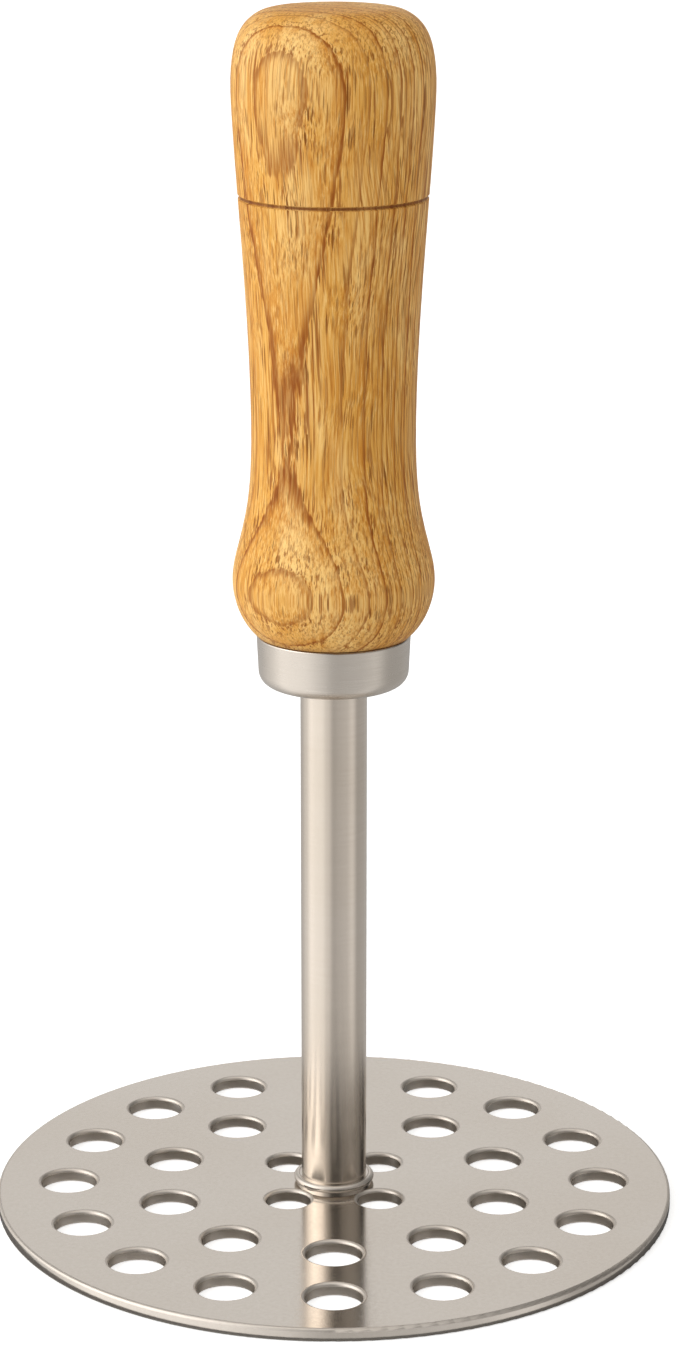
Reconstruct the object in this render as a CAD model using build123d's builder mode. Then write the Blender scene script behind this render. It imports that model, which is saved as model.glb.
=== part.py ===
"""Potato masher: a round perforated disc on a steel tube, with a turned oak handle.

Millimetres, +Z up along the shaft. The origin is the centre of the disc's underside, so the
masher stands on z = 0. From the bottom up: the disc is held to the shaft by one countersunk
screw into a plug in the tube, a collar rings the tube's foot, and at the top a stud in a second
plug clamps the steel cup and then screws into the insert in the handle.
"""

import os

from build123d import *

# Disc and its holes
DISC_RADIUS = 62.5
DISC_THICKNESS = 2.4
RIM_TOP_ROUND = 0.6
RIM_BOTTOM_ROUND = 0.4
HOLE_RINGS = (
    # ring radius, holes in the ring, hole radius, angle of the first hole from -Y
    (49.4, 16, 5.1, 0.0),
    (31.8, 10, 5.1, 0.0),
    (11.9, 4, 4.1, 45.0),
)
HOLE_TOP_ROUND = 0.7
HOLE_BOTTOM_ROUND = 0.3

# Shaft tube and the collar round its foot
TUBE_RADIUS = 6.0
TUBE_WALL = 1.0
TUBE_TOP = 99.0
TUBE_BORE = TUBE_RADIUS - TUBE_WALL
COLLAR_BASE_RADIUS = 6.9
COLLAR_BASE_HEIGHT = 0.4
COLLAR_LIP_RADIUS = 7.4
COLLAR_LIP_HEIGHT = 1.3
COLLAR_LIP_INNER_RADIUS = 6.35

# Screw that holds the disc to the tube
SCREW_RADIUS = 2.0
SCREW_ROOT_RADIUS = 1.6
SCREW_PITCH = 0.7
SCREW_HEAD_RADIUS = 3.8
SCREW_HEAD_LAND = 0.25
SCREW_HEAD_RECESS = 0.1
SCREW_LENGTH = 9.9
SCREW_KEY_FLATS = 2.5
SCREW_KEY_DEPTH = 1.3
SCREW_HOLE_RADIUS = 2.15
HEAD_CLEARANCE = 0.05

# Plugs in the two ends of the tube
FOOT_PLUG_LENGTH = 10.0
TOP_PLUG_LENGTH = 12.0
PLUG_CHAMFER = 0.4

# Cup under the handle
CUP_RIM_RADIUS = 13.8
CUP_FOOT_RADIUS = 13.35
CUP_HEIGHT = 9.2
CUP_WALL = 0.8
CUP_CORNER = 2.6
CUP_HOLE_RADIUS = 3.2
CUP_RIM_ROUND = 0.3

# Stud, washer and nut that clamp the cup to the tube
STUD_RADIUS = 3.0
STUD_ROOT_RADIUS = 2.4
STUD_PITCH = 1.0
STUD_BOTTOM = 88.0
STUD_LENGTH = 35.0
WASHER_RADIUS = 6.0
WASHER_THICKNESS = 1.6
NUT_FLATS = 10.0
NUT_HEIGHT = 3.2
THREAD_CLEARANCE = 0.05

# Insert that is screwed into the wood
INSERT_BOTTOM = 107.0
INSERT_LENGTH = 15.0
INSERT_RADIUS = 6.0
INSERT_ROOT_RADIUS = 5.0
INSERT_PITCH = 2.5
INSERT_KEY_FLATS = 7.0
INSERT_KEY_DEPTH = 3.0

# Turned handle
HANDLE_TOP = 219.2
TENON_CLEARANCE = 0.1
TENON_CHAMFER = 1.6
NUT_ROOM_RADIUS = 7.0
STUD_ROOM_RADIUS = 3.3
STUD_ROOM_TOP = 128.0
NECK = (13.9, 108.4)
TURNED_OUTLINE = (
    # radius, height
    NECK,
    (17.4, 114.2),
    (18.0, 118.7),  # widest at the lower bulb
    (16.7, 125.4),
    (15.27, 132.1),
    (14.6, 140.0),
    (14.57, 150.0),  # waist, for the fingers
    (15.1, 164.1),
    (16.65, 187.1),
    (17.55, 201.0),
    (17.3, 210.8),  # head, for the palm
    (15.6, 215.5),
    (12.4, 218.1),
    (8.5, 218.85),
    (4.2, 219.12),
    (0, HANDLE_TOP),  # the crown is almost flat here
)
GROOVE_HEIGHT = 186.5
GROOVE_SURFACE_RADIUS = 16.62
GROOVE_ROUND = 0.42
GROOVE_DEPTH = 0.4

CUP_BOTTOM = TUBE_TOP
CUP_FLOOR = CUP_BOTTOM + CUP_WALL
CUP_RIM = CUP_BOTTOM + CUP_HEIGHT
WASHER_TOP = CUP_FLOOR + WASHER_THICKNESS
HEAD_LAND_TOP = SCREW_HEAD_RECESS + SCREW_HEAD_LAND
SLICE = Plane.XZ  # sections drawn here are (radius, height)


def ringed_rod(crest_radius, root_radius, pitch, bottom, length):
    """A rod along Z whose thread is drawn as V rings of the thread's own pitch."""
    turns = round(length / pitch)
    outline = [(0, bottom), (root_radius, bottom)]
    for turn in range(turns):
        outline.append((crest_radius, bottom + (turn + 0.5) * pitch))
        outline.append((root_radius, bottom + (turn + 1) * pitch))
    outline.append((0, bottom + turns * pitch))
    with BuildPart() as rod:
        with BuildSketch(SLICE):
            with BuildLine():
                Polyline(*outline, close=True)
            make_face()
        revolve(axis=Axis.Z)
    return rod.part


def tap(crest_radius, root_radius, pitch, bottom, length):
    """The rod that cuts a threaded hole: the same rings, larger by the running clearance."""
    return ringed_rod(
        crest_radius + THREAD_CLEARANCE, root_radius + THREAD_CLEARANCE, pitch, bottom, length
    )


# The stud's tap runs past both of its ends, and its rings stay in step with the stud's.
STUD_TAP = tap(
    STUD_RADIUS, STUD_ROOT_RADIUS, STUD_PITCH, STUD_BOTTOM - 2 * STUD_PITCH, STUD_LENGTH + 3 * STUD_PITCH
)
SCREW_THREAD_BOTTOM = HEAD_LAND_TOP + SCREW_HEAD_RADIUS - SCREW_RADIUS
SCREW_TURNS = int((SCREW_LENGTH - SCREW_THREAD_BOTTOM) / SCREW_PITCH)
SCREW_TAP = tap(
    SCREW_RADIUS, SCREW_ROOT_RADIUS, SCREW_PITCH, SCREW_THREAD_BOTTOM, SCREW_TURNS * SCREW_PITCH
)


os.makedirs("parts", exist_ok=True)

# Disc: a punched plate with three rings of holes, countersunk below for the screw
with BuildPart() as masher_disc:
    Cylinder(DISC_RADIUS, DISC_THICKNESS, align=(Align.CENTER, Align.CENTER, Align.MIN))
    fillet(masher_disc.edges().filter_by(GeomType.CIRCLE).sort_by(Axis.Z)[-1], RIM_TOP_ROUND)
    fillet(masher_disc.edges().filter_by(GeomType.CIRCLE).sort_by(Axis.Z)[0], RIM_BOTTOM_ROUND)
    for ring_radius, count, hole_radius, first_angle in HOLE_RINGS:
        with BuildSketch():
            with PolarLocations(ring_radius, count, start_angle=first_angle - 90):
                Circle(hole_radius)
        extrude(amount=DISC_THICKNESS, mode=Mode.SUBTRACT)
        hole_edges = masher_disc.edges(Select.LAST).filter_by(GeomType.CIRCLE).group_by(Axis.Z)
        fillet(hole_edges[-1], HOLE_TOP_ROUND)
        fillet(hole_edges[0], HOLE_BOTTOM_ROUND)
    with BuildSketch(SLICE):
        with BuildLine():
            sink_radius = SCREW_HEAD_RADIUS + HEAD_CLEARANCE
            Polyline(
                (0, 0),
                (sink_radius, 0),
                (sink_radius, HEAD_LAND_TOP),
                (SCREW_HOLE_RADIUS, HEAD_LAND_TOP + sink_radius - SCREW_HOLE_RADIUS),
                (SCREW_HOLE_RADIUS, DISC_THICKNESS),
                (0, DISC_THICKNESS),
                close=True,
            )
        make_face()
    revolve(axis=Axis.Z, mode=Mode.SUBTRACT)
masher_disc.part.label = "masher_disc"
export_step(masher_disc.part, "parts/masher_disc.step")

# Collar: a ring with a plain foot and a rounded lip, brazed round the tube where it meets the disc
with BuildPart() as foot_collar:
    with BuildSketch(SLICE):
        with BuildLine():
            collar_waist = DISC_THICKNESS + COLLAR_BASE_HEIGHT
            lip_top = collar_waist + COLLAR_LIP_HEIGHT
            Polyline(
                (TUBE_RADIUS, lip_top),
                (TUBE_RADIUS, DISC_THICKNESS),
                (COLLAR_BASE_RADIUS, DISC_THICKNESS),
                (COLLAR_BASE_RADIUS, collar_waist),
            )
            ThreePointArc(
                (COLLAR_BASE_RADIUS, collar_waist),
                (COLLAR_LIP_RADIUS, collar_waist + COLLAR_LIP_HEIGHT / 2),
                (COLLAR_LIP_INNER_RADIUS, lip_top),
            )
            Line((COLLAR_LIP_INNER_RADIUS, lip_top), (TUBE_RADIUS, lip_top))
        make_face()
    revolve(axis=Axis.Z)
foot_collar.part.label = "foot_collar"
export_step(foot_collar.part, "parts/foot_collar.step")

# Shaft: a plain drawn tube from the disc to the cup
with BuildPart() as shaft_tube:
    with BuildSketch(Plane.XY.offset(DISC_THICKNESS)):
        Circle(TUBE_RADIUS)
        Circle(TUBE_BORE, mode=Mode.SUBTRACT)
    extrude(amount=TUBE_TOP - DISC_THICKNESS)
shaft_tube.part.label = "shaft_tube"
export_step(shaft_tube.part, "parts/shaft_tube.step")

# Foot plug: closes the lower end of the tube and is tapped for the disc's screw
with BuildPart() as foot_plug:
    with BuildSketch(Plane.XY.offset(DISC_THICKNESS)):
        Circle(TUBE_BORE)
    extrude(amount=FOOT_PLUG_LENGTH)
    chamfer(foot_plug.edges().filter_by(GeomType.CIRCLE).sort_by(Axis.Z)[-1], PLUG_CHAMFER)
    add(SCREW_TAP, mode=Mode.SUBTRACT)
foot_plug.part.label = "foot_plug"
export_step(foot_plug.part, "parts/foot_plug.step")

# Disc screw: countersunk, with a hexagon socket, and a hair below flush
with BuildPart() as disc_screw:
    with BuildSketch(SLICE):
        with BuildLine():
            cone_top = HEAD_LAND_TOP + SCREW_HEAD_RADIUS - SCREW_ROOT_RADIUS
            Polyline(
                (0, SCREW_HEAD_RECESS),
                (SCREW_HEAD_RADIUS, SCREW_HEAD_RECESS),
                (SCREW_HEAD_RADIUS, HEAD_LAND_TOP),
                (SCREW_ROOT_RADIUS, cone_top),
                (0, cone_top),
                close=True,
            )
        make_face()
    revolve(axis=Axis.Z)
    add(
        ringed_rod(
            SCREW_RADIUS, SCREW_ROOT_RADIUS, SCREW_PITCH, SCREW_THREAD_BOTTOM, (SCREW_TURNS - 1) * SCREW_PITCH
        )
    )
    with BuildSketch(Plane.XY.offset(SCREW_HEAD_RECESS)):
        RegularPolygon(SCREW_KEY_FLATS / 2, 6, major_radius=False)
    extrude(amount=SCREW_KEY_DEPTH, mode=Mode.SUBTRACT)
disc_screw.part.label = "disc_screw"
export_step(disc_screw.part, "parts/disc_screw.step")

# Top plug: closes the upper end of the tube and is tapped right through for the stud
with BuildPart() as top_plug:
    with BuildSketch(Plane.XY.offset(TUBE_TOP - TOP_PLUG_LENGTH)):
        Circle(TUBE_BORE)
    extrude(amount=TOP_PLUG_LENGTH)
    chamfer(top_plug.edges().filter_by(GeomType.CIRCLE).sort_by(Axis.Z)[0], PLUG_CHAMFER)
    add(STUD_TAP, mode=Mode.SUBTRACT)
top_plug.part.label = "top_plug"
export_step(top_plug.part, "parts/top_plug.step")

# Cup: drawn from sheet, wider at its rim, with a hole for the stud
with BuildPart() as ferrule_cup:
    with BuildSketch(SLICE) as cup_section:
        with BuildLine():
            Polyline(
                (CUP_HOLE_RADIUS, CUP_BOTTOM),
                (CUP_FOOT_RADIUS, CUP_BOTTOM),
                (CUP_RIM_RADIUS, CUP_RIM),
                (CUP_RIM_RADIUS - CUP_WALL, CUP_RIM),
                (CUP_FOOT_RADIUS - CUP_WALL, CUP_FLOOR),
                (CUP_HOLE_RADIUS, CUP_FLOOR),
                close=True,
            )
        make_face()
        outer_corner = cup_section.vertices().sort_by_distance((CUP_FOOT_RADIUS, CUP_BOTTOM))[0]
        fillet(outer_corner, CUP_CORNER)
        inner_corner = cup_section.vertices().sort_by_distance((CUP_FOOT_RADIUS - CUP_WALL, CUP_FLOOR))[0]
        fillet(inner_corner, CUP_CORNER - CUP_WALL)
        fillet(cup_section.vertices().group_by(Axis.Y)[-1], CUP_RIM_ROUND)
    revolve(axis=Axis.Z)
ferrule_cup.part.label = "ferrule_cup"
export_step(ferrule_cup.part, "parts/ferrule_cup.step")

# Washer and thin nut: they clamp the cup down on the end of the tube
with BuildPart() as cup_washer:
    with BuildSketch(Plane.XY.offset(CUP_FLOOR)):
        Circle(WASHER_RADIUS)
        Circle(CUP_HOLE_RADIUS, mode=Mode.SUBTRACT)
    extrude(amount=WASHER_THICKNESS)
cup_washer.part.label = "cup_washer"
export_step(cup_washer.part, "parts/cup_washer.step")

with BuildPart() as cup_nut:
    with BuildSketch(Plane.XY.offset(WASHER_TOP)):
        RegularPolygon(NUT_FLATS / 2, 6, major_radius=False)
    extrude(amount=NUT_HEIGHT)
    with BuildSketch(SLICE):
        with BuildLine():
            nut_top = WASHER_TOP + NUT_HEIGHT
            corner_radius = NUT_FLATS / 3**0.5
            corner_drop = (corner_radius - NUT_FLATS / 2) / 3**0.5
            Polyline(
                (0, WASHER_TOP),
                (corner_radius, WASHER_TOP),
                (corner_radius, nut_top - corner_drop),
                (NUT_FLATS / 2, nut_top),
                (0, nut_top),
                close=True,
            )
        make_face()
    revolve(axis=Axis.Z, mode=Mode.INTERSECT)
    add(STUD_TAP, mode=Mode.SUBTRACT)
cup_nut.part.label = "cup_nut"
export_step(cup_nut.part, "parts/cup_nut.step")

# Stud: threaded from end to end, from the top plug up into the handle
with BuildPart() as handle_stud:
    add(ringed_rod(STUD_RADIUS, STUD_ROOT_RADIUS, STUD_PITCH, STUD_BOTTOM, STUD_LENGTH))
handle_stud.part.label = "handle_stud"
export_step(handle_stud.part, "parts/handle_stud.step")

# Insert: coarse wood thread outside, the stud's thread inside, and a hexagon for its key below
INSERT_BODY = ringed_rod(INSERT_RADIUS, INSERT_ROOT_RADIUS, INSERT_PITCH, INSERT_BOTTOM, INSERT_LENGTH)
with BuildPart() as threaded_insert:
    add(INSERT_BODY)
    add(STUD_TAP, mode=Mode.SUBTRACT)
    with BuildSketch(Plane.XY.offset(INSERT_BOTTOM)):
        RegularPolygon(INSERT_KEY_FLATS / 2, 6, major_radius=False)
    extrude(amount=INSERT_KEY_DEPTH, mode=Mode.SUBTRACT)
threaded_insert.part.label = "threaded_insert"
export_step(threaded_insert.part, "parts/threaded_insert.step")

# Handle: turned from one piece, with a tenon in the cup and a burnt groove below the head
with BuildPart() as wooden_handle:
    with BuildSketch(SLICE):
        with BuildLine():
            tenon_foot = CUP_FOOT_RADIUS - CUP_WALL - TENON_CLEARANCE
            tenon_head = CUP_RIM_RADIUS - CUP_WALL - TENON_CLEARANCE
            Polyline(
                (0, HANDLE_TOP),
                (0, CUP_FLOOR),
                (tenon_foot - TENON_CHAMFER, CUP_FLOOR),
                (tenon_foot, CUP_FLOOR + TENON_CHAMFER),
                (tenon_head, CUP_RIM),
                NECK,
            )
            Spline(*TURNED_OUTLINE)
        make_face()
    revolve(axis=Axis.Z)
    with BuildSketch(SLICE):
        with Locations((GROOVE_SURFACE_RADIUS + GROOVE_ROUND - GROOVE_DEPTH, GROOVE_HEIGHT)):
            Circle(GROOVE_ROUND)
    revolve(axis=Axis.Z, mode=Mode.SUBTRACT)
    with BuildSketch(Plane.XY.offset(CUP_FLOOR)):
        Circle(NUT_ROOM_RADIUS)
    extrude(amount=INSERT_BOTTOM - CUP_FLOOR, mode=Mode.SUBTRACT)
    with BuildSketch(Plane.XY.offset(INSERT_BOTTOM)):
        Circle(STUD_ROOM_RADIUS)
    extrude(amount=STUD_ROOM_TOP - INSERT_BOTTOM, mode=Mode.SUBTRACT)
    add(INSERT_BODY, mode=Mode.SUBTRACT)
wooden_handle.part.label = "wooden_handle"
export_step(wooden_handle.part, "parts/wooden_handle.step")
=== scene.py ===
"""Potato masher in a plain white studio: perforated steel disc, steel shaft and cup, turned oak handle."""

from __future__ import annotations

import logging
import math
from dataclasses import dataclass
from enum import Enum

import bpy
from mathutils import Euler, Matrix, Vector

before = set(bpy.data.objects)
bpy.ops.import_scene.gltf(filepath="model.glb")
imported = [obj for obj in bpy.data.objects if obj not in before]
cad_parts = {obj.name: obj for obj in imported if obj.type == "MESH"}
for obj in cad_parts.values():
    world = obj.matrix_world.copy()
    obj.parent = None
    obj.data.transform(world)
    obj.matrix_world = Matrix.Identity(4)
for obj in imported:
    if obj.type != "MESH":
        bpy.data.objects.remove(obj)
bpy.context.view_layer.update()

log = logging.getLogger("masher")

Colour = tuple[float, float, float]
Pair = tuple[float, float]
Wire = bpy.types.NodeSocket

MM = 0.001
QUARTER_TURN = 0.25  # as the shader counts, with a whole turn as 1


class Lay(Enum):
    """The way a metal finish runs over its piece."""

    AROUND = "round the shaft's axis"
    FLAT = "in no direction, as on rolled sheet"


class Socket(Enum):
    """Names of the shader inputs that the finishes set."""

    COLOUR = "Base Color"
    METAL = "Metallic"
    ROUGH = "Roughness"
    ANISO = "Anisotropic"
    ANISO_TURN = "Anisotropic Rotation"
    TANGENT = "Tangent"
    NORMAL = "Normal"
    SPECULAR = "Specular IOR Level"
    GLOW_COLOUR = "Emission Color"
    GLOW = "Emission Strength"


class Nodes:
    """A node tree, with short ways to add and join its nodes."""

    def __init__(self, tree: bpy.types.NodeTree) -> None:
        """Empty a tree and keep hold of it.

        Args:
            tree: the tree of a material or of the world.
        """
        self.tree = tree
        self.tree.nodes.clear()

    def add(self, kind: str) -> bpy.types.Node:
        """Add a node of the kind named."""
        return self.tree.nodes.new(kind)

    def feed(self, target: Wire, value: float | tuple[float, ...] | Wire) -> None:
        """Give an input a value or a link, whichever value is.

        Args:
            target: the input.
            value: a number, a colour, or the output that feeds it.
        """
        if isinstance(value, Wire):
            self.tree.links.new(value, target)
        elif isinstance(value, tuple) and len(value) == 3 and target.type == "RGBA":
            target.default_value = (*value, 1.0)
        else:
            target.default_value = value

    def maths(self, operation: str, *values: float | Wire) -> Wire:
        """Add a Math node.

        Args:
            operation: its operation.
            values: its inputs, in order.

        Returns:
            The node's output.
        """
        node = self.add("ShaderNodeMath")
        node.operation = operation
        for target, value in zip(node.inputs, values):
            self.feed(target, value)
        return node.outputs[0]

    def vector(self, operation: str, *values: tuple[float, ...] | Wire) -> Wire:
        """Add a Vector Math node.

        Args:
            operation: its operation.
            values: its inputs, in order.

        Returns:
            The vector, or the number where the operation is LENGTH.
        """
        node = self.add("ShaderNodeVectorMath")
        node.operation = operation
        for target, value in zip(node.inputs, values):
            self.feed(target, value)
        return node.outputs["Value" if operation == "LENGTH" else "Vector"]

    def parts(self, value: Wire) -> tuple[Wire, ...]:
        """Split a vector into its three numbers.

        Args:
            value: the vector.

        Returns:
            Its x, y and z.
        """
        node = self.add("ShaderNodeSeparateXYZ")
        self.feed(node.inputs[0], value)
        return tuple(node.outputs)

    def joined(self, *values: float | Wire) -> Wire:
        """Make a vector from three numbers.

        Args:
            values: its x, y and z.

        Returns:
            The vector.
        """
        node = self.add("ShaderNodeCombineXYZ")
        for target, value in zip(node.inputs, values):
            self.feed(target, value)
        return node.outputs[0]

    def span(
        self, value: Wire, low: float, high: float, to_low: float = 0.0, to_high: float = 1.0
    ) -> Wire:
        """Map a number from one range to another with soft ends.

        Args:
            value: the number.
            low: where the range starts.
            high: where the range ends.
            to_low: the result at and below low.
            to_high: the result at and above high.

        Returns:
            The mapped number.
        """
        node = self.add("ShaderNodeMapRange")
        node.interpolation_type = "SMOOTHSTEP"
        for target, number in zip(node.inputs, (value, low, high, to_low, to_high)):
            self.feed(target, number)
        return node.outputs[0]

    def mixed(self, amount: Wire, first: float | Wire, second: float | Wire) -> Wire:
        """Mix two numbers.

        Args:
            amount: how much of the second.
            first: a number.
            second: a number.

        Returns:
            The mixed number.
        """
        node = self.add("ShaderNodeMix")
        for target, value in zip((node.inputs[0], node.inputs[2], node.inputs[3]), (amount, first, second)):
            self.feed(target, value)
        return node.outputs[0]


class Board(Nodes):
    """A material with one principled shader, and the nodes that feed it."""

    def __init__(self, name: str) -> None:
        """Start an empty material.

        Args:
            name: the material's name.
        """
        self.material = bpy.data.materials.new(name)
        self.material.use_nodes = True
        super().__init__(self.material.node_tree)
        self.shader = self.add("ShaderNodeBsdfPrincipled")
        self.feed(self.add("ShaderNodeOutputMaterial").inputs[0], self.shader.outputs[0])

    def set(self, socket: Socket, value: float | tuple[float, ...] | Wire) -> None:
        """Set one input of the shader, or join a node's output to it.

        Args:
            socket: the input.
            value: a number, a colour, or the output that feeds it.
        """
        self.feed(self.shader.inputs[socket.value], value)

    def place(self) -> Wire:
        """The point's place in the masher's own frame, in metres."""
        return self.add("ShaderNodeTexCoord").outputs["Object"]

    def levelness(self) -> Wire:
        """How level the surface is: 0 where it stands upright, 1 where it lies flat."""
        facing = self.add("ShaderNodeNewGeometry").outputs["Normal"]
        return self.maths("ABSOLUTE", self.parts(facing)[2])

    def noise(self, where: Wire, scale: float, detail: float = 2.0, rough: float = 0.5) -> Wire:
        """Add a noise texture.

        Args:
            where: its coordinates.
            scale: its scale.
            detail: its octaves.
            rough: how strong the fine octaves are.

        Returns:
            The noise, centred on a half.
        """
        node = self.add("ShaderNodeTexNoise")
        for name, value in (("Vector", where), ("Scale", scale), ("Detail", detail), ("Roughness", rough)):
            self.feed(node.inputs[name], value)
        return node.outputs["Fac"]

    def cells(self, where: Wire) -> tuple[Wire, ...]:
        """Add a Voronoi texture with cells one unit wide.

        Args:
            where: its coordinates.

        Returns:
            The distance to the nearest cell's middle, and that cell's own random colour.
        """
        node = self.add("ShaderNodeTexVoronoi")
        self.feed(node.inputs["Vector"], where)
        self.feed(node.inputs["Scale"], 1.0)
        return node.outputs["Distance"], node.outputs["Color"]

    def blend(
        self, amount: float | Wire, first: Colour | Wire, second: Colour | Wire, mode: str = "MIX"
    ) -> Wire:
        """Mix two colours.

        Args:
            amount: how much of the second.
            first: a colour.
            second: a colour.
            mode: how they mix.

        Returns:
            The mixed colour.
        """
        node = self.add("ShaderNodeMix")
        node.data_type = "RGBA"
        node.blend_type = mode
        for target, value in zip((node.inputs[0], node.inputs[6], node.inputs[7]), (amount, first, second)):
            self.feed(target, value)
        return node.outputs[2]

    def relief(self, height: Wire, depth: float) -> Wire:
        """Turn a height from 0 to 1 into a bumped normal.

        Args:
            height: the height.
            depth: what 1 stands for, in metres.

        Returns:
            The normal.
        """
        node = self.add("ShaderNodeBump")
        self.feed(node.inputs["Strength"], 1.0)
        self.feed(node.inputs["Distance"], depth)
        self.feed(node.inputs["Height"], height)
        return node.outputs[0]

    def radial_tangent(self) -> Wire:
        """Add the direction round the shaft's axis.

        Returns:
            The direction.
        """
        node = self.add("ShaderNodeTangent")
        node.direction_type = "RADIAL"
        node.axis = "Z"
        return node.outputs[0]


@dataclass(frozen=True)
class Steel:
    """Stainless steel with a fine lay.

    Attributes:
        name: the material's name.
        light: colour where it is brightest.
        deep: colour of its faint warm patches.
        polish: mean roughness.
        swing: how far the roughness strays from that.
        lay: which way the polishing runs.
        pitch: spacing of the polishing lines, in metres.
        depth: height of those lines, in metres.
        stretch: how many times a line is longer than it is wide.
        fleck: how much those lines darken the colour.
        patches: warm patches to a metre.
        spots: worn spots to a metre.
        anisotropy: how far reflections are drawn out across the lay.
        edge_polish: roughness of rounded edges, where it differs from that of flat and upright faces.
        leaves_upright: how level a face is where edge_polish starts, and where it is full.
        nears_level: how level a face is where edge_polish starts to give way, and where it is gone.
    """

    name: str
    light: Colour
    deep: Colour
    polish: float
    swing: float = 0.04
    lay: Lay = Lay.FLAT
    pitch: float = 0.75 * MM
    depth: float = 0.002 * MM
    stretch: float = 40.0
    fleck: float = 0.12
    patches: float = 28.0
    spots: float = 210.0
    anisotropy: float = 0.0
    edge_polish: float | None = None
    leaves_upright: Pair = (0.02, 0.3)
    nears_level: Pair = (0.985, 0.9999)

    def build(self) -> bpy.types.Material:
        """Make the material.

        Returns:
            The material.
        """
        board = Board(self.name)
        place = board.place()
        lines = board.noise(self.line_space(board, place), 1.0, detail=3.0, rough=0.6)
        patches = board.noise(place, self.patches, detail=3.0)
        tint = board.blend(board.span(patches, 0.35, 0.7), self.light, self.deep)
        flecks = board.span(lines, 0.2, 0.8, 0.0, self.fleck)
        board.set(Socket.METAL, 1.0)
        board.set(Socket.COLOUR, board.blend(flecks, tint, self.deep, "MULTIPLY"))
        board.set(Socket.ROUGH, self.roughness(board, place, lines))
        board.set(Socket.NORMAL, board.relief(lines, self.depth))
        if self.anisotropy:
            board.set(Socket.ANISO, self.anisotropy)
            board.set(Socket.ANISO_TURN, QUARTER_TURN)
            board.set(Socket.TANGENT, board.radial_tangent())
        return board.material

    def roughness(self, board: Board, place: Wire, lines: Wire) -> Wire:
        """How rough the steel is: by its lines, by wear, and on its rounded edges.

        Args:
            board: the material's board.
            place: the point's place, in metres.
            lines: the height of the polishing lines.

        Returns:
            The roughness.
        """
        rough = board.span(lines, 0.25, 0.75, self.polish - self.swing, self.polish + self.swing)
        wear = board.noise(place, self.spots, detail=4.0, rough=0.6)
        rough = board.maths("ADD", rough, board.span(wear, 0.45, 0.75, 0.0, self.swing))
        if self.edge_polish is None:
            return rough
        level = board.levelness()
        edge = board.span(level, *self.leaves_upright, self.polish, self.edge_polish)
        return board.mixed(board.span(level, *self.nears_level), edge, rough)

    def line_space(self, board: Board, place: Wire) -> Wire:
        """Coordinates in which the polishing lines are drawn out along the lay.

        Args:
            board: the material's board.
            place: the point's place, in metres.

        Returns:
            The stretched coordinates, one unit to a line's width.
        """
        fine = 1.0 / self.pitch
        if self.lay is Lay.FLAT:
            return board.vector("MULTIPLY", place, (fine, fine, fine))
        x, y, z = board.parts(place)
        coarse = fine / self.stretch
        radius = board.vector("LENGTH", board.joined(x, y, 0.0))
        return board.joined(
            board.maths("MULTIPLY", x, coarse),
            board.maths("MULTIPLY", y, coarse),
            board.maths("MULTIPLY", board.maths("ADD", z, radius), fine),
        )


@dataclass(frozen=True)
class Grain:
    """A noise drawn out up the grain of the wood.

    Attributes:
        across: repeats to a metre across the grain.
        along: repeats to a metre up the grain.
        detail: its octaves.
        rough: how strong the fine octaves are.
    """

    across: float
    along: float
    detail: float = 3.0
    rough: float = 0.6

    def space(self, board: Board, where: Wire) -> Wire:
        """Coordinates drawn out up the grain, one unit to a repeat."""
        return board.vector("MULTIPLY", where, (self.across, self.across, self.along))

    def noise(self, board: Board, where: Wire) -> Wire:
        """The noise itself, centred on a half."""
        return board.noise(self.space(board, where), 1.0, self.detail, self.rough)


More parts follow.
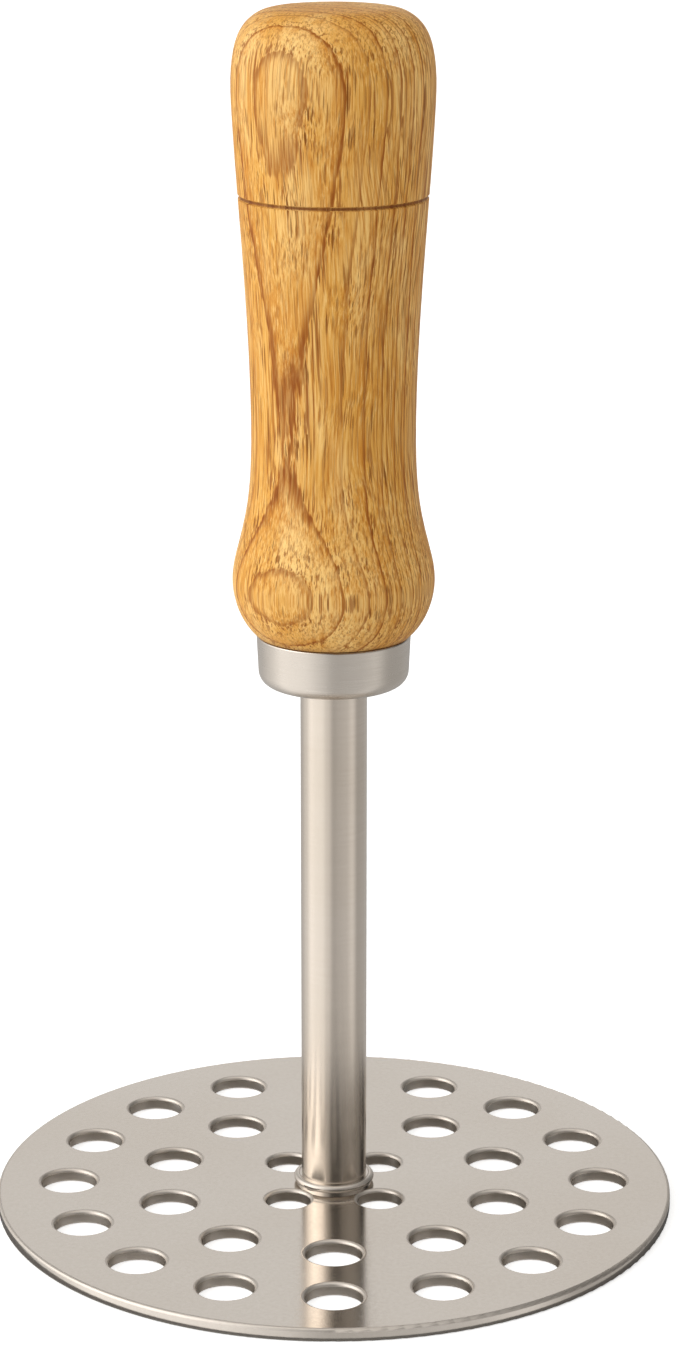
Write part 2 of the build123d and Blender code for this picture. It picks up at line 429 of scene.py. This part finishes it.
@dataclass(frozen=True)
class Oak:
    """Flat-sawn oak: growth rings, open pores and fine fibre, all running up the handle.

    Attributes:
        name: the material's name.
        pale: colour between the rings.
        honey: the wood's usual colour.
        amber: colour of the broad late growth.
        line: colour of the thin dark ring line.
        pore: colour inside a pore.
        dark_brown: colour of the scorched groove, and of the band just above the cup that is darker towards
            the cup.
        bark_side: angle of the growth rings' normal, in degrees from -Y towards -X.
        pith: how far the tree's pith is behind the shaft's axis, in metres.
        first_ring: how far the outermost ring is from the shaft's axis, in metres.
        outer_rings: rings to a metre at the outermost ring.
        widening: how quickly the rings grow wider towards the pith, per metre.
        ring_beat: how fast strong and faint rings take turns, in radians to a ring.
        ring_start: where in that turn the outermost ring is, in radians.
        ring_strength: a ring's mean strength, and how far it strays from that.
        fainter_lines: lines within a year's growth.
        bends: what bends the rings, and how far each of them does, in metres.
        comb: what combs the ring lines into the fibre.
        comb_reach: how far it does, in metres.
        sway: the slow sway of the fibre.
        sway_reach: how far it sways, in metres.
        clouds: broad pale and honey clouds.
        patches: smaller honey and amber patches.
        breaks: what breaks the ring lines up.
        fibre: the finest fibre.
        broad_streaks: the broad dark streaks.
        fine_streaks: the fine dark streaks.
        pore_tubes: spacing of the pores.
        dull: roughness of the wood, and of its pores.
        shine: its specular level.
        depth: depth of the relief, in metres.
        cuts: how much of that depth pores, fibre and streaks take.
        groove: height of the scorched groove, in metres.
        groove_half: half the scorched band's height, in metres.
        grip_foot: height where the wood leaves the cup, in metres.
        dark_band: height of the band above the cup, darker towards the cup, in metres.
        patchiness: uneven spots in the scorch and in the band above the cup, to a metre.
    """

    name: str = "handle_oak"
    pale: Colour = (0.95, 0.63, 0.235)
    honey: Colour = (0.75, 0.39, 0.08)
    amber: Colour = (0.57, 0.21, 0.022)
    line: Colour = (0.27, 0.07, 0.008)
    pore: Colour = (0.20, 0.058, 0.007)
    dark_brown: Colour = (0.16, 0.045, 0.011)
    bark_side: float = 32.0
    pith: float = 85.0 * MM
    first_ring: float = 17.0 * MM
    outer_rings: float = 410.0
    widening: float = 5.0
    ring_beat: float = 2.6
    ring_start: float = 1.9
    ring_strength: Pair = (0.52, 0.24)
    fainter_lines: float = 3.0
    bends: tuple[tuple[Grain, float], ...] = (
        (Grain(55.0, 24.0, detail=2.0, rough=0.5), 1.7 * MM),
        (Grain(330.0, 75.0), 0.6 * MM),
    )
    comb: Grain = Grain(1300.0, 70.0, detail=2.0)
    comb_reach: float = 0.45 * MM
    sway: Grain = Grain(70.0, 34.0, detail=1.0, rough=0.5)
    sway_reach: float = 5.0 * MM
    clouds: Grain = Grain(75.0, 22.0)
    patches: Grain = Grain(420.0, 60.0)
    breaks: Grain = Grain(1100.0, 30.0, rough=0.62)
    fibre: Grain = Grain(3800.0, 85.0, detail=4.0, rough=0.7)
    broad_streaks: Grain = Grain(1600.0, 40.0, rough=0.62)
    fine_streaks: Grain = Grain(3100.0, 75.0, detail=2.0, rough=0.5)
    pore_tubes: Grain = Grain(1900.0, 105.0)
    dull: Pair = (0.46, 0.7)
    shine: float = 0.12
    depth: float = 0.09 * MM
    cuts: tuple[float, float, float] = (0.75, 0.15, 0.25)
    groove: float = 186.5 * MM
    groove_half: float = 0.2 * MM
    grip_foot: float = 108.3 * MM
    dark_band: float = 1.3 * MM
    patchiness: float = 420.0

    def build(self) -> bpy.types.Material:
        """Make the material.

        Returns:
            The material.
        """
        board = Board(self.name)
        place = board.place()
        swayed = self.swayed(board, place)
        count = self.rings(board, place, swayed)
        phase = board.maths("FRACT", count)
        strength = self.strength(board, count)
        broken = self.breaks.noise(board, swayed)
        line = self.ring_line(board, count, phase, strength)
        line = board.maths("MULTIPLY", line, board.span(broken, 0.4, 0.6, 0.6, 1.0))
        late = board.maths("MULTIPLY", board.span(phase, 0.35, 0.97), board.span(broken, 0.4, 0.6, 0.3, 1.0))
        streaks = self.streaks(board, swayed, phase)
        fibre = self.fibre.noise(board, swayed)

        # Where the handle is cut across the grain, fibre and pores show as dots, and so more faintly.
        cut_along = board.span(board.levelness(), 0.1, 0.7, 1.0, 0.4)
        dark_fibre = board.maths("MULTIPLY", board.span(fibre, 0.46, 0.66, 0.0, 0.8), cut_along)
        pale_fibre = board.maths("MULTIPLY", board.span(fibre, 0.34, 0.49, 0.7, 0.0), cut_along)
        pores = board.maths("MULTIPLY", self.pores(board, swayed, phase), cut_along)

        colour = self.ground(board, place, board.maths("MULTIPLY", late, strength))
        colour = board.blend(dark_fibre, colour, self.amber)
        colour = board.blend(pale_fibre, colour, self.pale)
        colour = board.blend(streaks, colour, self.line)
        colour = board.blend(line, colour, self.line)
        colour = board.blend(pores, colour, self.pore)
        board.set(Socket.COLOUR, board.blend(self.scorch_and_dark_band(board, place), colour, self.dark_brown))

        board.set(Socket.ROUGH, board.span(pores, 0.0, 1.0, *self.dull))
        board.set(Socket.SPECULAR, self.shine)
        board.set(Socket.NORMAL, board.relief(self.height(board, pores, fibre, streaks), self.depth))
        return board.material

    def height(self, board: Board, *cut_by: Wire) -> Wire:
        """The height of the surface, which pores, fibre and streaks cut into.

        Args:
            board: the material's board.
            cut_by: how much of a pore, of fibre and of a streak is here.

        Returns:
            The height, 1 where nothing cuts into it.
        """
        height = 1.0
        for amount, share in zip(cut_by, self.cuts):
            height = board.maths("SUBTRACT", height, board.maths("MULTIPLY", amount, share))
        return height

    def swayed(self, board: Board, place: Wire) -> Wire:
        """The point's place, moved sideways a little as the fibre sways.

        Args:
            board: the material's board.
            place: the point's place, in metres.

        Returns:
            The moved place, in metres.
        """
        shift = self.strayed(board, self.sway.noise(board, place), self.sway_reach)
        return board.vector("ADD", place, board.joined(shift, shift, 0.0))

    def strayed(self, board: Board, noise: Wire, reach: float) -> Wire:
        """A noise as a distance to either side.

        Args:
            board: the material's board.
            noise: the noise, centred on a half.
            reach: what 1 stands for, in metres.

        Returns:
            The distance, in metres.
        """
        return board.maths("MULTIPLY", board.maths("SUBTRACT", noise, 0.5), reach)

    def ground(self, board: Board, place: Wire, late: Wire) -> Wire:
        """The wood's broad colour: pale and honey clouds, and amber late growth.

        Args:
            board: the material's board.
            place: the point's place, in metres.
            late: how much late growth is here.

        Returns:
            The colour.
        """
        cloud = self.clouds.noise(board, place)
        patch = self.patches.noise(board, place)
        colour = board.blend(board.span(cloud, 0.34, 0.62), self.pale, self.honey)
        colour = board.blend(board.span(patch, 0.42, 0.68, 0.0, 0.55), colour, self.honey)
        colour = board.blend(board.span(patch, 0.55, 0.78, 0.0, 0.5), colour, self.amber)
        return board.blend(late, colour, self.amber)

    def rings(self, board: Board, place: Wire, swayed: Wire) -> Wire:
        """Where the point lies among the growth rings.

        Args:
            board: the material's board.
            place: the point's place, in metres.
            swayed: the same, moved as the fibre sways.

        Returns:
            How many rings lie outside the point, in whole rings and part.
        """
        turn = math.radians(self.bark_side)
        behind = (-math.sin(turn) * self.pith, -math.cos(turn) * self.pith)
        x, y = (board.maths("ADD", part, shift) for part, shift in zip(board.parts(place), behind))
        bent = board.maths("SUBTRACT", board.vector("LENGTH", board.joined(x, y, 0.0)), self.pith)
        for grain, reach in self.bends:
            bent = board.maths("ADD", bent, self.strayed(board, grain.noise(board, place), reach))
        comb = self.strayed(board, self.comb.noise(board, swayed), self.comb_reach)
        deep = board.maths("SUBTRACT", self.first_ring, board.maths("ADD", bent, comb))
        wider = board.maths("ADD", board.maths("MULTIPLY", deep, self.widening), 1.0)
        return board.maths("DIVIDE", board.maths("MULTIPLY", deep, self.outer_rings), wider)

    def strength(self, board: Board, count: Wire) -> Wire:
        """How strong the point's own ring is, as strong and faint rings take turns.

        Args:
            board: the material's board.
            count: rings outside the point.

        Returns:
            The strength.
        """
        beat = board.maths("MULTIPLY", board.maths("FLOOR", count), self.ring_beat)
        swing = board.maths("SINE", board.maths("ADD", beat, self.ring_start))
        mean, stray = self.ring_strength
        return board.maths("ADD", board.maths("MULTIPLY", swing, stray), mean)

    def ring_line(self, board: Board, count: Wire, phase: Wire, strength: Wire) -> Wire:
        """The thin dark line where a year's growth ends, and the fainter lines within a year.

        Args:
            board: the material's board.
            count: rings outside the point.
            phase: how far the point is from one ring line to the next.
            strength: how strong the point's own ring is.

        Returns:
            How dark the line is here.
        """
        rise = board.span(phase, 0.8, 0.965)
        fall = board.span(phase, 0.97, 1.0, 1.0, 0.0)
        shown = board.span(strength, 0.15, 0.8, 0.6, 0.95)
        main = board.maths("MULTIPLY", board.maths("MULTIPLY", rise, fall), shown)
        between = board.maths("FRACT", board.maths("MULTIPLY", phase, self.fainter_lines))
        rise = board.span(between, 0.7, 0.96)
        fall = board.span(between, 0.97, 1.0, 0.75, 0.0)
        inner = board.span(count, 1.0, 4.5, 0.12, 1.1)
        minor = board.maths("MULTIPLY", board.maths("MULTIPLY", rise, fall), inner)
        return board.maths("MAXIMUM", main, minor)

    def streaks(self, board: Board, swayed: Wire, phase: Wire) -> Wire:
        """Long dark streaks up the grain, thicker in the early growth that follows a ring line.

        Args:
            board: the material's board.
            swayed: the point's place, moved as the fibre sways.
            phase: how far the point is from one ring line to the next.

        Returns:
            How dark a streak is here.
        """
        broad = board.span(self.broad_streaks.noise(board, swayed), 0.52, 0.66, 0.0, 0.85)
        fine = board.span(self.fine_streaks.noise(board, swayed), 0.54, 0.67, 0.0, 0.85)
        early = board.span(phase, 0.0, 0.6, 1.0, 0.5)
        return board.maths("MULTIPLY", board.maths("MAXIMUM", broad, fine), early)

    def pores(self, board: Board, swayed: Wire, phase: Wire) -> Wire:
        """Open pores: narrow tubes up the grain, cut where the turned surface meets them.

        Args:
            board: the material's board.
            swayed: the point's place, moved as the fibre sways.
            phase: how far the point is from one ring line to the next.

        Returns:
            How much of a pore is here.
        """
        distance, own = board.cells(self.pore_tubes.space(board, swayed))
        reach = board.span(board.parts(own)[0], 0.2, 1.0, 0.0, 0.4)
        mark = board.span(board.maths("SUBTRACT", reach, distance), -0.05, 0.12)
        return board.maths("MULTIPLY", mark, board.span(phase, 0.0, 0.7, 0.85, 0.45))

    def scorch_and_dark_band(self, board: Board, place: Wire) -> Wire:
        """The scorched line in the groove, and a band just above the cup that is darker towards the cup.

        Args:
            board: the material's board.
            place: the point's place, in metres.

        Returns:
            How dark the wood is here.
        """
        height = board.parts(place)[2]
        uneven = board.noise(place, self.patchiness, detail=2.0)
        off_groove = board.maths("ABSOLUTE", board.maths("SUBTRACT", height, self.groove))
        groove = board.span(off_groove, self.groove_half * 0.6, self.groove_half * 2.0, 0.85, 0.0)
        above_cup = board.maths("SUBTRACT", height, self.grip_foot)
        # The wood is made darker in a thin band just above the cup, most where the wood meets it.
        joint = board.span(above_cup, 0.0, self.dark_band, 0.45, 0.0)
        dark = board.maths("MAXIMUM", groove, joint)
        return board.maths("MULTIPLY", dark, board.span(uneven, 0.3, 0.6, 0.75, 1.0))


@dataclass(frozen=True)
class Brass:
    """Turned brass, a little dull.

    Attributes:
        name: the material's name.
        bright: colour of the fresh metal.
        dull: colour of its tarnish.
        polish: roughness of the fresh metal, and of its tarnish.
        spots: spots of tarnish to a metre.
        depth: height of those spots, in metres.
    """

    name: str = "insert_brass"
    bright: Colour = (0.72, 0.5, 0.2)
    dull: Colour = (0.5, 0.33, 0.12)
    polish: Pair = (0.27, 0.44)
    spots: float = 260.0
    depth: float = 0.004 * MM

    def build(self) -> bpy.types.Material:
        """Make the material.

        Returns:
            The material.
        """
        board = Board(self.name)
        tarnish = board.noise(board.place(), self.spots, detail=4.0)
        board.set(Socket.METAL, 1.0)
        board.set(Socket.COLOUR, board.blend(board.span(tarnish, 0.4, 0.75), self.bright, self.dull))
        board.set(Socket.ROUGH, board.span(tarnish, 0.3, 0.8, *self.polish))
        board.set(Socket.NORMAL, board.relief(tarnish, self.depth))
        return board.material


def dress(node: str, material: bpy.types.Material) -> None:
    """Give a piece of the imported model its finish.

    Args:
        node: the piece's name.
        material: the finish.
    """
    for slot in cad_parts[node].material_slots:
        slot.material = material
    log.info("%s: %s", node, material.name)


@dataclass
class MashingHead:
    """The perforated disc with the collar on it and the screw below.

    Attributes:
        sheet: the finish of the disc and the collar.
        fixing: the finish of the screw.
    """

    sheet: Steel = Steel(
        "disc_steel",
        light=(0.66, 0.61, 0.555),
        deep=(0.64, 0.585, 0.525),
        polish=0.13,
        swing=0.02,
        depth=0.0006 * MM,
        edge_polish=0.46,
    )
    fixing: Steel = Steel("fixing_steel", light=(0.6, 0.59, 0.57), deep=(0.5, 0.49, 0.47), polish=0.26)

    def build(self) -> None:
        """Dress the disc, the collar and the screw."""
        sheet = self.sheet.build()
        dress("masher_disc", sheet)
        dress("foot_collar", sheet)
        dress("disc_screw", self.fixing.build())


@dataclass
class Shaft:
    """The tube and the two plugs pressed into it.

    Attributes:
        drawn: the finish of the tube.
        turned: the finish of the plugs.
    """

    drawn: Steel = Steel(
        "tube_steel",
        light=(0.67, 0.605, 0.535),
        deep=(0.64, 0.57, 0.49),
        polish=0.21,
        swing=0.03,
        lay=Lay.AROUND,
        pitch=0.12 * MM,
        depth=0.0012 * MM,
        stretch=60.0,
        anisotropy=0.8,
    )
    turned: Steel = Steel(
        "turned_steel",
        light=(0.5, 0.5, 0.5),
        deep=(0.42, 0.42, 0.42),
        polish=0.34,
        lay=Lay.AROUND,
        pitch=0.25 * MM,
    )

    def build(self) -> None:
        """Dress the tube and its plugs."""
        dress("shaft_tube", self.drawn.build())
        turned = self.turned.build()
        dress("foot_plug", turned)
        dress("top_plug", turned)


@dataclass
class Ferrule:
    """The cup under the handle and the fixings that hold it.

    Attributes:
        satin: the finish of the cup.
        fixing: the finish of the washer, the nut and the stud.
        insert: the finish of the threaded insert.
    """

    satin: Steel = Steel(
        "cup_steel",
        light=(0.64, 0.59, 0.535),
        deep=(0.59, 0.54, 0.48),
        polish=0.3,
        swing=0.05,
        lay=Lay.AROUND,
        pitch=0.16 * MM,
        stretch=50.0,
        anisotropy=0.4,
    )
    fixing: Steel = Steel("cup_fixing_steel", light=(0.6, 0.59, 0.57), deep=(0.5, 0.49, 0.47), polish=0.28)
    insert: Brass = Brass()

    def build(self) -> None:
        """Dress the cup, its washer and nut, the stud and the insert."""
        dress("ferrule_cup", self.satin.build())
        fixing = self.fixing.build()
        for node in ("cup_washer", "cup_nut", "handle_stud"):
            dress(node, fixing)
        dress("threaded_insert", self.insert.build())


@dataclass
class Handle:
    """The turned handle.

    Attributes:
        oak: its wood.
    """

    oak: Oak = Oak()

    def build(self) -> None:
        """Dress the handle."""
        dress("wooden_handle", self.oak.build())


@dataclass(frozen=True)
class Lamp:
    """One soft studio light, which the steel doesn't mirror.

    Attributes:
        name: the light's name.
        place: where it is, in metres.
        size: its width and height, in metres.
        power: its power, in watts.
        aim: the point it faces, in metres.
    """

    name: str
    place: tuple[float, float, float]
    size: Pair
    power: float
    aim: tuple[float, float, float] = (0.0, 0.0, 0.15)

    def build(self) -> None:
        """Make the light and hang it."""
        data = bpy.data.lights.new(self.name, "AREA")
        data.shape = "RECTANGLE"
        data.size, data.size_y = self.size
        data.energy = self.power
        lamp = bpy.data.objects.new(self.name, data)
        lamp.location = self.place
        lamp.rotation_euler = (Vector(self.aim) - Vector(self.place)).to_track_quat("-Z", "Y").to_euler()
        lamp.visible_glossy = False
        bpy.context.scene.collection.objects.link(lamp)


@dataclass(frozen=True)
class Gap:
    """A dark gap in the light tent, high up behind the masher, which draws dark lines along the edges.

    Attributes:
        behind: how far back its sides start, and where it is full.
        foot: how far up its lower edge starts, and where it is full.
        top: how far up its upper edge ends, and where it is still full.
        depth: how dark it is, from 0 to 1.
    """

    behind: Pair = (0.0, 0.3)
    foot: Pair = (0.54, 0.64)
    top: Pair = (0.9, 0.78)
    depth: float = 0.85

    def left(self, nodes: Nodes, back: Wire, up: Wire) -> Wire:
        """What the gap leaves of the tent's brightness.

        Args:
            nodes: the world's nodes.
            back: how far back the direction points.
            up: how far up it points.

        Returns:
            1 outside the gap, and less inside it.
        """
        share = nodes.span(back, *self.behind)
        for edge in (self.foot, self.top):
            share = nodes.maths("MULTIPLY", share, nodes.span(up, *edge))
        return nodes.maths("SUBTRACT", 1.0, nodes.maths("MULTIPLY", share, self.depth))


@dataclass(frozen=True)
class Tent:
    """The light tent round the masher: how bright it is in each direction, as the steel mirrors it.

    Attributes:
        low: turn from the front in degrees, positive to the right, and brightness below the horizon.
        high: the same above the horizon.
        horizon: how far up a direction points where low ends, and where high is full.
        roof: how far up it points where the roof starts, and where it is full.
        overhead: brightness of the roof.
        gap: the dark gap in it.
        for_soft: how much of it lights dull surfaces.
        tint: its colour.
    """

    low: tuple[Pair, ...] = (
        (-180.0, 0.45),
        (-145.0, 0.6),
        (-112.0, 0.92),
        (-86.0, 1.36),
        (-64.0, 1.24),
        (-43.0, 1.2),
        (-21.0, 0.95),
        (0.0, 0.6),
        (21.0, 0.67),
        (43.0, 0.72),
        (67.0, 0.92),
        (92.0, 0.52),
        (122.0, 0.54),
        (140.0, 0.56),
        (156.0, 0.5),
        (180.0, 0.45),
    )
    high: tuple[Pair, ...] = (
        (-180.0, 0.86),
        (-160.0, 0.82),
        (-145.0, 0.5),
        (-122.0, 1.1),
        (-100.0, 2.2),
        (-76.0, 2.9),
        (-48.0, 2.3),
        (-24.0, 0.7),
        (-6.0, 0.13),
        (12.0, 0.1),
        (36.0, 0.33),
        (64.0, 0.42),
        (92.0, 0.36),
        (124.0, 0.02),
        (158.0, 0.74),
        (180.0, 0.86),
    )
    horizon: Pair = (-0.08, 0.12)
    roof: Pair = (0.6, 0.95)
    overhead: float = 1.1
    gap: Gap = Gap()
    for_soft: float = 0.95
    tint: Colour = (1.0, 0.985, 0.965)

    def build(self) -> bpy.types.World:
        """Make the world that holds the tent.

        Returns:
            The world.
        """
        world = bpy.data.worlds.new("light_tent")
        world.use_nodes = True
        nodes = Nodes(world.node_tree)
        right, back, up = nodes.parts(nodes.add("ShaderNodeTexCoord").outputs["Generated"])
        turn = nodes.maths("ARCTAN2", right, nodes.maths("MULTIPLY", back, -1.0))
        share = nodes.maths("ADD", nodes.maths("DIVIDE", turn, math.tau), 0.5)
        low, high = (self.ramp(nodes, steps, share) for steps in (self.low, self.high))
        walls = nodes.mixed(nodes.span(up, *self.horizon), low, high)
        level = nodes.mixed(nodes.span(up, *self.roof), walls, self.overhead)
        self.join_rays(nodes, nodes.maths("MULTIPLY", level, self.gap.left(nodes, back, up)))
        return world

    def ramp(self, nodes: Nodes, steps: tuple[Pair, ...], share: Wire) -> Wire:
        """The brightness by turn, as a ramp over the whole circle.

        Args:
            nodes: the world's nodes.
            steps: turns in degrees and the brightness at each.
            share: the turn, with -180 degrees as 0 and 180 as 1.

        Returns:
            The brightness.
        """
        node = nodes.add("ShaderNodeValToRGB")
        node.color_ramp.interpolation = "EASE"
        stops = node.color_ramp.elements
        first, *middle, last = steps
        for stop, (turn, level) in zip((stops[0], stops[1]), (first, last)):
            stop.position, stop.color = turn / 360 + 0.5, (level, level, level, 1.0)
        for turn, level in middle:
            stops.new(turn / 360 + 0.5).color = (level, level, level, 1.0)
        nodes.feed(node.inputs[0], share)
        return node.outputs[0]

    def join_rays(self, nodes: Nodes, level: Wire) -> None:
        """Show the tent to reflections in full and to dull surfaces in part, and plain white to the lens.

        Args:
            nodes: the world's nodes.
            level: the tent's brightness in the direction looked in.
        """
        rays = nodes.add("ShaderNodeLightPath")
        soft = nodes.maths("MULTIPLY", level, self.for_soft)
        chosen = nodes.mixed(rays.outputs["Is Glossy Ray"], soft, level)
        seen = nodes.mixed(rays.outputs["Is Camera Ray"], chosen, 1.0)
        shine = nodes.add("ShaderNodeBackground")
        nodes.feed(shine.inputs["Color"], self.tint)
        nodes.feed(shine.inputs["Strength"], seen)
        nodes.feed(nodes.add("ShaderNodeOutputWorld").inputs[0], shine.outputs[0])


@dataclass(frozen=True)
class Sheet:
    """A flat staged sheet, dull and plain. It is either for the lens alone or for reflections alone.

    Attributes:
        name: its name, and its material's.
        reach: how far its corners are from its middle, in metres.
        drop: how far it lies below the disc's underside, in metres.
        white: how white it is.
        sides: how many sides it has.
        turned: how far its first corner is turned from +X, in degrees.
        opening: how far the corners of its opening are from its middle, in metres, or 0.
        glow: how brightly it glows.
        for_lens: whether it is for the lens.
        dull: its roughness.
        stained: how much of its white its faint stains keep.
        stains: stains to a metre.
    """

    name: str
    reach: float
    drop: float
    white: float
    sides: int = 360
    turned: float = 0.0
    opening: float = 0.0
    glow: float = 0.0
    for_lens: bool = False
    dull: float = 0.9
    stained: Colour = (0.99, 0.99, 0.985)
    stains: float = 40.0

    def build(self) -> None:
        """Make the sheet and lay it down."""
        mesh = bpy.data.meshes.new(self.name)
        mesh.from_pydata(self.corners(), [], self.faces())
        mesh.materials.append(self.finish())
        piece = bpy.data.objects.new(self.name, mesh)
        piece.visible_camera = self.for_lens
        piece.visible_glossy = not self.for_lens
        piece.visible_diffuse = False
        piece.visible_shadow = False
        bpy.context.scene.collection.objects.link(piece)

    def corners(self) -> list[tuple[float, float, float]]:
        """Place its corners.

        Returns:
            The corners of its outside and then those of its opening, in metres.
        """
        start = math.radians(self.turned)
        turns = [start + math.tau * index / self.sides for index in range(self.sides)]
        reaches = [reach for reach in (self.reach, self.opening) if reach]
        return [(r * math.cos(turn), r * math.sin(turn), -self.drop) for r in reaches for turn in turns]

    def faces(self) -> list[tuple[int, ...]]:
        """Join its corners up.

        Returns:
            The corners of its one face, or of each of its faces round the opening.
        """
        sides = self.sides
        if not self.opening:
            return [tuple(range(sides))]
        return [(i, (i + 1) % sides, sides + (i + 1) % sides, sides + i) for i in range(sides)]

    def finish(self) -> bpy.types.Material:
        """Make its material.

        Returns:
            The material.
        """
        board = Board(self.name)
        stains = board.noise(board.place(), self.stains, detail=2.0)
        plain, stained = (self.white,) * 3, tuple(self.white * part for part in self.stained)
        board.set(Socket.COLOUR, board.blend(stains, plain, stained))
        board.set(Socket.ROUGH, self.dull)
        board.set(Socket.SPECULAR, 0.0)
        board.set(Socket.GLOW_COLOUR, (1.0, 1.0, 1.0))
        board.set(Socket.GLOW, self.glow)
        return board.material


@dataclass(frozen=True)
class Camera:
    """The camera, in front of the masher and looking down at it.

    Attributes:
        distance: how far it is in front of the shaft's axis, in metres.
        height: how high it is above the floor, in metres.
        pitch: how far it looks down, in degrees.
        yaw: how far it looks to the right, in degrees.
        lens: its focal length, in millimetres.
        sensor: its sensor's longer side, in millimetres.
        reach: the nearest and the farthest it sees, in metres.
    """

    distance: float = 0.6248
    height: float = 0.2772
    pitch: float = 15.77
    yaw: float = 0.095
    lens: float = 96.86
    sensor: float = 36.0
    reach: Pair = (0.05, 50.0)

    def build(self) -> None:
        """Set the camera up and look through it."""
        data = bpy.data.cameras.new("camera")
        data.sensor_width = self.sensor
        data.lens = self.lens
        data.clip_start, data.clip_end = self.reach
        camera = bpy.data.objects.new("camera", data)
        camera.location = (0.0, -self.distance, self.height)
        camera.rotation_euler = Euler((math.radians(90 - self.pitch), 0.0, -math.radians(self.yaw)))
        bpy.context.scene.collection.objects.link(camera)
        bpy.context.scene.camera = camera
        bpy.context.scene.view_settings.view_transform = "Standard"


@dataclass
class Studio:
    """The white floor, the lights and the camera.

    Attributes:
        floor: the floor, which the lens alone sees.
        pool: the pale ground lit through the holes, as the steel mirrors it.
        shadow: a dark ring that only reflections see, a painted shadow in place of the shade under the
            disc's rim.
        tent: the tent of light.
        lamps: the lamps.
        camera: the camera.
    """

    floor: Sheet = Sheet(
        "white_floor",
        reach=math.hypot(6.0, 6.0),
        drop=0.05 * MM,
        white=0.8,
        sides=4,
        turned=45.0,
        glow=0.55,
        for_lens=True,
    )
    pool: Sheet = Sheet("lit_through_holes", reach=64.0 * MM, drop=4.0 * MM, white=0.95)
    # A dark ring under the rim that only reflections see: a painted shadow that gives the rim its dark
    # bottom line.
    shadow: Sheet = Sheet("painted_rim_shadow", reach=64.0 * MM, drop=0.02 * MM, white=0.2, opening=58.0 * MM)
    tent: Tent = Tent()
    lamps: tuple[Lamp, ...] = (
        Lamp("key_left", (-0.95, -0.6, 0.6), size=(0.35, 0.7), power=1.2),
        Lamp("fill_right", (0.95, -0.5, 0.5), size=(0.5, 0.7), power=2.2),
    )
    camera: Camera = Camera()

    def build(self) -> None:
        """Lay the sheets, hang the lights and set up the camera."""
        for sheet in (self.floor, self.pool, self.shadow):
            sheet.build()
        bpy.context.scene.world = self.tent.build()
        for lamp in self.lamps:
            lamp.build()
        self.camera.build()


def main() -> None:
    """Build the masher, then the studio."""
    logging.basicConfig(level=logging.INFO, format="%(name)s %(message)s")
    for part in (MashingHead(), Shaft(), Ferrule(), Handle()):
        part.build()
        log.info("%s done", type(part).__name__)
    Studio().build()
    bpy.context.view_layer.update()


if __name__ == "__main__":
    main()
